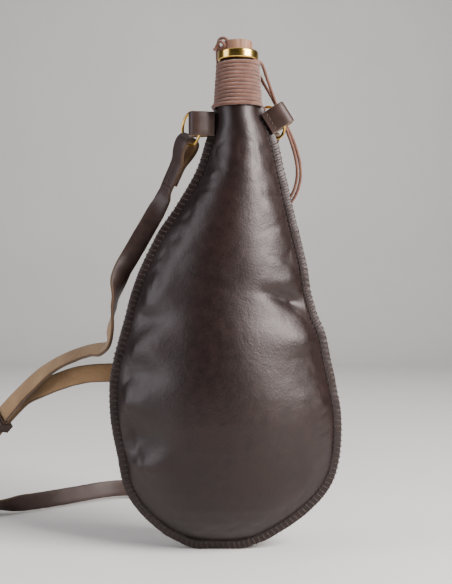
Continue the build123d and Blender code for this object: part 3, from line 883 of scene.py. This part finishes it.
def make_stitch_row(name, at, along, through, count, pitch, half):
    """A row of saddle stitches, the same on both faces."""
    bm = bmesh.new()
    radius = 0.00042
    for face in (-1, 1):
        for k in range(count):
            made = bmesh.ops.create_icosphere(bm, subdivisions=2, radius=radius)
            start = at + along * (k * pitch)
            side = along.cross(through).normalized()
            for vert in made["verts"]:
                c = vert.co.copy()
                long = c.x / radius
                arch = (1 - long * long) * 0.00022
                vert.co = (start + along * (long * pitch * 0.44) + side * c.y
                           + through * (face * (half + arch) + c.z * 0.8))
    return finish_piece(name, bm, [THREAD])


for left in (True, False):
    ring_body = "left_ring" if left else "right_ring"
    at, wire, through, up = strap_end_frame(left)
    end = make_strap_end(left)
    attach(end, ring_body)
    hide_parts("left_strap_end" if left else "right_strap_end")
    sewn = make_stitch_row("left_fold_stitches" if left else "right_fold_stitches",
                           at - up * 0.0155, -up, through, 5, 0.0034, STRAP_THICK + 0.0001)
    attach(sewn, ring_body)
    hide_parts("left_end_stitches" if left else "right_end_stitches")


# ------------------------------------------------------------------ buckle and straps
def buckle_frame_axes():
    end = Vector(LEFT_STRAP[-1][0])
    direction = (end - Vector(LEFT_STRAP[-2][0])).normalized()
    normal = Vector(LEFT_STRAP[-1][1]).normalized()
    normal = (normal - direction * normal.dot(direction)).normalized()
    return end + direction * 0.028, direction, normal.cross(direction), normal


BAR, BUCKLE_X, BUCKLE_Y, BUCKLE_Z = buckle_frame_axes()
STRAP_MATERIALS = [STRAP_GRAIN, FLESH, CUT_EDGE]

left_route = strap_start(True) + [row[0] for row in LEFT_STRAP[1:]]
left_faces = [tuple(front_of(True))] * 2 + [row[1] for row in LEFT_STRAP[1:]]
left_strap, left_line, left_length = ribbon("left_strap_run", left_route, left_faces,
                                            STRAP_MATERIALS)
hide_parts("left_strap")

right_route = strap_start(False) + [row[0] for row in RIGHT_STRAP[1:]]
right_faces = [tuple(front_of(False))] * 2 + [row[1] for row in RIGHT_STRAP[1:]]
for x, z in BUCKLE_LOCAL:
    right_route.append(tuple(BAR + BUCKLE_X * x + BUCKLE_Z * z))
    right_faces.append(tuple(BUCKLE_Z))
right_route += [row[0] for row in TAIL]
right_faces += [row[1] for row in TAIL]
right_strap, right_line, right_length = ribbon("right_strap_run", right_route, right_faces,
                                               STRAP_MATERIALS)
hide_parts("right_strap")

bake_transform(left_strap)
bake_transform(right_strap)


def make_buckle_fold():
    r = 0.00275
    half = HALF_LAYER
    flat = [(-0.0272, half), (-0.020, half), (-0.013, half), (-0.0075, half + 0.0003),
            (-0.0026, r * 1.12), (0.0018, r * 1.10), (r * 1.18, r * 0.40), (r * 1.18, -r * 0.40),
            (0.0018, -r * 1.10), (-0.0026, -r * 1.12), (-0.0075, -half - 0.0003),
            (-0.013, -half), (-0.020, -half), (-0.0262, -half)]
    route = [BAR + BUCKLE_X * a + BUCKLE_Z * b for a, b in flat]
    line, length = even_steps(smooth_route(route), 0.0008)
    section, kinds = strap_section(STRAP_WIDTH, STRAP_THICK * 0.92)
    normals = [BUCKLE_Y.cross(t).normalized() for t in tangents(line)]
    if normals[len(normals) // 2].dot(BUCKLE_X) < 0:
        normals = [-n for n in normals]
    rows = [[p + BUCKLE_Y * a + n * b for a, b in section] for p, n in zip(line, normals)]
    return skin_over("buckle_strap_fold", rows, STRAP_MATERIALS, kinds,
                     length, STRAP_WIDTH)


buckle_fold = make_buckle_fold()
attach(buckle_fold, "flask")
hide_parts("buckle_fold")
fold_sewn = make_stitch_row("buckle_fold_sewing", BAR - BUCKLE_X * 0.0085, -BUCKLE_X, BUCKLE_Z, 2,
                            0.0036, STRAP_THICK + 0.0001)
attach(fold_sewn, "flask")
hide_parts("buckle_fold_stitches")


def make_tab(left):
    """A leather loop folded round the tunnel, its two ends sewn on the flange's faces."""
    origin, out, along = tab_frame(left)
    across = along.cross(out)
    long = 0.0166 if left else 0.0158
    if left:
        origin = origin + Vector((0, 0, 0.0004))
    h = FLANGE_HALF + 0.0010
    flat = [(-0.0052, -h), (-0.0028, -h), (-0.0006, -h - 0.0002), (0.0024, -0.0042),
            (0.0062, -0.0052), (0.0102, -0.0046), (0.0120, -0.0020), (0.0120, 0.0020),
            (0.0102, 0.0046), (0.0062, 0.0052), (0.0024, 0.0042), (-0.0006, h + 0.0002),
            (-0.0028, h), (-0.0052, h)]
    route = [origin + out * a + across * b for a, b in flat]
    line, length = even_steps(smooth_route(route), 0.0006)
    section, kinds = strap_section(long, 0.0018)
    normals = [t.cross(along).normalized() for t in tangents(line)]
    if normals[len(normals) // 2].dot(out) < 0:
        normals = [-n for n in normals]
    skins = []
    for p, t, normal in zip(line, tangents(line), normals):
        side = t.cross(normal)
        skins.append([p + side * a + normal * (b + 0.00012 * noise.noise(p * 160))
                      for a, b in section])
    return skin_over("left_ring_tab" if left else "right_ring_tab", skins,
                     [STRAP_GRAIN, FLESH, TAB_EDGE], kinds, length, long)


for left in (True, False):
    origin, out, along = tab_frame(left)
    across = along.cross(out)
    tab = make_tab(left)
    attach(tab, "flask")
    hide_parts("left_tab" if left else "right_tab")
    tab_sewn = make_stitch_row("left_tab_sewing" if left else "right_tab_sewing",
                               origin - out * 0.0016 - along * 0.0052, along, across, 4, 0.0034,
                               FLANGE_HALF + 0.0018)
    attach(tab_sewn, "flask")
    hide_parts("left_tab_stitches" if left else "right_tab_stitches")


def paint(node, *materials):
    obj = bpy.data.objects[node]
    mesh = obj.data
    mesh.materials.clear()
    for mat in materials:
        mesh.materials.append(mat)


for node in ("left_ring", "right_ring", "neck_collar", "buckle_frame", "buckle_prong"):
    paint(node, BRASS)
    bpy.data.objects[node].data.shade_smooth()
paint("keeper", STRAP_GRAIN)
paint("stopper", WOOD)
paint("neck_tube", TURNED)


# ------------------------------------------------------------------ floor, lights, camera
def matt_stage(name, colour):
    mat, tree, skin = new_material(name)
    tone = noise_of(tree, place_of(tree), 6, 3)
    darker = tuple(c * 0.97 for c in colour)
    tree.links.new(ramp_of(tree, tone, [(0.3, darker), (0.7, colour)]), skin.inputs["Base Color"])
    skin.inputs["Roughness"].default_value = 0.8
    return mat


FLOOR_BACK_Y = 1.8
COVE_R = 0.5
COVE_STEPS = 12
WALL_TOP_Z = 3.0


def make_floor():
    """A flat floor that curves up into a wall behind the flask."""
    bm = bmesh.new()
    made = bmesh.ops.create_grid(bm, x_segments=1, y_segments=1, size=1.0)
    for vert in made["verts"]:
        vert.co = Vector((vert.co.x * 3.0, -1.6 + (vert.co.y + 1) * 1.7, 0))
    back = [e for e in bm.edges if all(v.co.y > 1.7 for v in e.verts)]
    for k in range(COVE_STEPS):
        made = bmesh.ops.extrude_edge_only(bm, edges=back)
        angle = math.radians(90) * (k + 1) / COVE_STEPS
        for vert in made["geom"]:
            if isinstance(vert, bmesh.types.BMVert):
                vert.co.y = FLOOR_BACK_Y + COVE_R * math.sin(angle)
                vert.co.z = COVE_R - COVE_R * math.cos(angle)
        back = [e for e in made["geom"] if isinstance(e, bmesh.types.BMEdge)
                and all(v in made["geom"] for v in e.verts)]
    made = bmesh.ops.extrude_edge_only(bm, edges=back)
    for vert in made["geom"]:
        if isinstance(vert, bmesh.types.BMVert):
            vert.co.z = WALL_TOP_Z
    mesh = bpy.data.meshes.new("studio_floor")
    bm.to_mesh(mesh)
    bm.free()
    mesh.materials.append(matt_stage("pale_floor", (0.74, 0.72, 0.70)))
    mesh.shade_smooth()
    obj = bpy.data.objects.new("studio_floor", mesh)
    bpy.context.scene.collection.objects.link(obj)


make_floor()


def soft_light(name, place, aim, size, power, colour):
    data = bpy.data.lights.new(name, "AREA")
    data.shape = "RECTANGLE"
    data.size, data.size_y = size
    data.energy = power
    data.color = colour
    lamp = bpy.data.objects.new(name, data)
    lamp.location = place
    lamp.rotation_euler = (Vector(aim) - Vector(place)).to_track_quat("-Z", "Y").to_euler()
    bpy.context.scene.collection.objects.link(lamp)


soft_light("right_softbox", (0.80, -0.52, 0.72), (0.0, 0.0, 0.20), (0.60, 0.70), 38, (1.0, 0.97, 0.95))
soft_light("left_softbox", (-0.95, -0.30, 0.45), (0.0, 0.0, 0.18), (0.50, 1.0), 8, (0.92, 0.93, 1.0))
soft_light("top_softbox", (0.0, 0.35, 1.5), (0.0, 0.1, 0.0), (1.2, 1.0), 5, (1.0, 1.0, 1.0))
soft_light("wall_wash", (0.0, 0.7, 1.3), (0.0, 2.2, 0.4), (1.5, 0.6), 14, (1.0, 0.99, 0.97))

world = bpy.data.worlds.new("studio_world")
world.use_nodes = True
world.node_tree.nodes["Background"].inputs[0].default_value = (0.80, 0.82, 0.85, 1)
world.node_tree.nodes["Background"].inputs[1].default_value = 0.06
bpy.context.scene.world = world

camera_data = bpy.data.cameras.new("front_camera")
camera_data.sensor_width = 36
camera_data.lens = 64.8
camera = bpy.data.objects.new("front_camera", camera_data)
camera.location = (0.0007, -0.730, 0.1782)
camera.rotation_euler = (math.radians(90), 0, 0)
bpy.context.scene.collection.objects.link(camera)
bpy.context.scene.camera = camera
